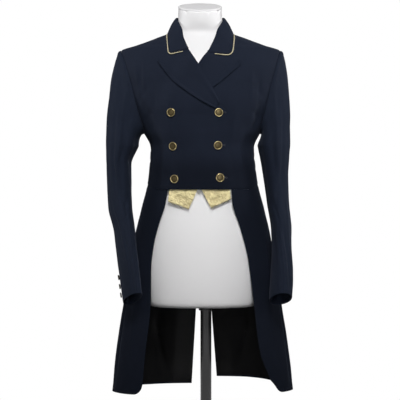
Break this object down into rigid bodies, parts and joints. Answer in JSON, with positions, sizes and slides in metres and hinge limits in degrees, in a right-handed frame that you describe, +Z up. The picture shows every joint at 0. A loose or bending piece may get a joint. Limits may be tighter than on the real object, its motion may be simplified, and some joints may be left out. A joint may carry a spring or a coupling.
{
  "type": "tailcoat on dress form",
  "caption": "Double-breasted tailcoat with long vented tails, worn by a smooth limbless dress form that stands on a round post and disc base.",
  "frame": {"origin": "centre of the base disc's underside, on the post's axis", "axes": "+Z up along the post, the coat's front faces -Y, the wearer's left is toward +X"},
  "size_m": [0.4685, 0.3433, 1.5185],
  "materials": {
    "navy_wool": "matt twill",
    "black_satin": "soft sheen",
    "gold_leather": "metallic grain",
    "piping_cord": "twisted cord",
    "antique_brass": "aged, bright rim",
    "white_form": "satin",
    "black_post": "gloss"
  },
  "bodies": {
    "root": {"form_torso": "white_form", "neck_cap": "white_form", "stand_base": "black_post", "stand_ferrule": "black_post", "stand_post": "black_post", "front_right": "navy_wool", "front_left": "navy_wool", "side_right": "navy_wool", "side_left": "navy_wool", "back_right": "navy_wool", "back_left": "navy_wool", "tail_right": "navy_wool", "tail_left": "navy_wool", "skirt_right": "navy_wool", "skirt_left": "navy_wool", "lapel_right": "navy_wool", "lapel_left": "navy_wool", "top_sleeve_right": "navy_wool", "top_sleeve_left": "navy_wool", "top_sleeve_low_right": "navy_wool", "top_sleeve_low_left": "navy_wool", "under_sleeve_right": "navy_wool", "under_sleeve_left": "navy_wool", "collar": "navy_wool", "tail_lining_right": "black_satin", "tail_lining_left": "black_satin", "vest_point_right": "gold_leather", "vest_point_left": "gold_leather", "collar_piping_right": "piping_cord", "collar_piping_left": "piping_cord", "button_top_outer": "antique_brass", "button_top_inner": "antique_brass", "button_middle_outer": "antique_brass", "button_middle_inner": "antique_brass", "button_low_outer": "antique_brass", "button_low_inner": "antique_brass", "cuff_button_right_1": "antique_brass", "cuff_button_right_2": "antique_brass", "cuff_button_right_3": "antique_brass", "cuff_button_left_1": "antique_brass", "cuff_button_left_2": "antique_brass", "cuff_button_left_3": "antique_brass"}
  },
  "joints": []
}
